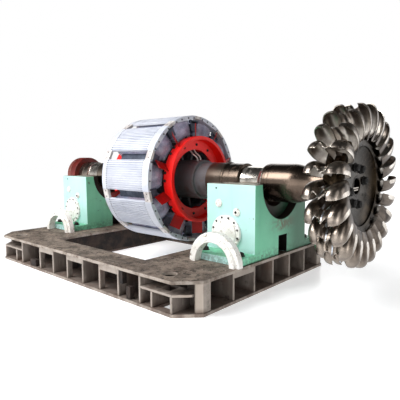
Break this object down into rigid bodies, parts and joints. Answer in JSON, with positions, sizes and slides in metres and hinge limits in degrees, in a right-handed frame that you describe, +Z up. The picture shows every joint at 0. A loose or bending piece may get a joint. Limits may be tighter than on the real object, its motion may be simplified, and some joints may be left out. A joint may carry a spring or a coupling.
{
  "type": "hydroelectric generator",
  "caption": "Horizontal-shaft hydroelectric generator without its stator: salient-pole rotor on two pedestals and a steel base frame, with an overhung Pelton runner.",
  "frame": {"origin": "centre of the base frame's footprint and the turning parts' length, on the floor", "axes": "+X along the shaft towards the Pelton runner, +Y away from the front of the base, +Z up"},
  "size_m": [5.452, 3, 2.134],
  "materials": {
    "base_steel": "weathered, rusty",
    "bearing_bronze": "worn",
    "bolt_steel": "oiled, dark",
    "coil_insulation": "varnished",
    "mint_paint": "semi-gloss",
    "off_white_paint": "matt",
    "oxide_paint": "semi-gloss",
    "pole_steel": "satin",
    "red_paint": "semi-gloss",
    "rotor_steel": "matt",
    "runner_steel": "polished, stained",
    "shaft_steel": "turned, stained"
  },
  "bodies": {
    "frame": {"bay_blocks": "base_steel", "bay_headers": "base_steel", "bearing_shells": "bearing_bronze", "bottom_plate_front": "base_steel", "bottom_plate_left": "base_steel", "bottom_plate_rear": "base_steel", "bottom_plate_right": "base_steel", "corner_panels": "base_steel", "corner_shelves": "base_steel", "foot_bolts": "bolt_steel", "front_pit_wall": "base_steel", "front_ribs": "base_steel", "inspection_covers": "off_white_paint", "left_pedestal": "mint_paint", "left_pit_wall": "base_steel", "left_ribs": "base_steel", "pedestal_plugs": "off_white_paint", "rear_pit_wall": "base_steel", "rear_ribs": "base_steel", "right_pedestal": "mint_paint", "right_pit_wall": "base_steel", "right_ribs": "base_steel", "seal_half_rings": "off_white_paint", "top_plate_front": "base_steel", "top_plate_left": "base_steel", "top_plate_rear": "base_steel", "top_plate_right": "base_steel", "under_shelf_ribs": "base_steel"},
    "rotor": {"collector_drum": "oxide_paint", "rotor_arms": "rotor_steel", "rotor_coil_brackets": "rotor_steel", "rotor_coils": "coil_insulation", "rotor_damper_links": "pole_steel", "rotor_fan_blades": "red_paint", "rotor_fan_brackets": "red_paint", "rotor_fan_rings": "red_paint", "rotor_poles": "pole_steel", "rotor_rim": "rotor_steel", "runner_bolts": "bolt_steel", "runner_buckets": "runner_steel", "runner_disc": "runner_steel", "shaft": "shaft_steel"}
  },
  "joints": [
    {"name": "rotor_spin", "type": "hinge", "parent": "frame", "child": "rotor", "pos_m": [0, 0.225, 1.234], "axis": [1, 0, 0], "continuous": true}
  ]
}
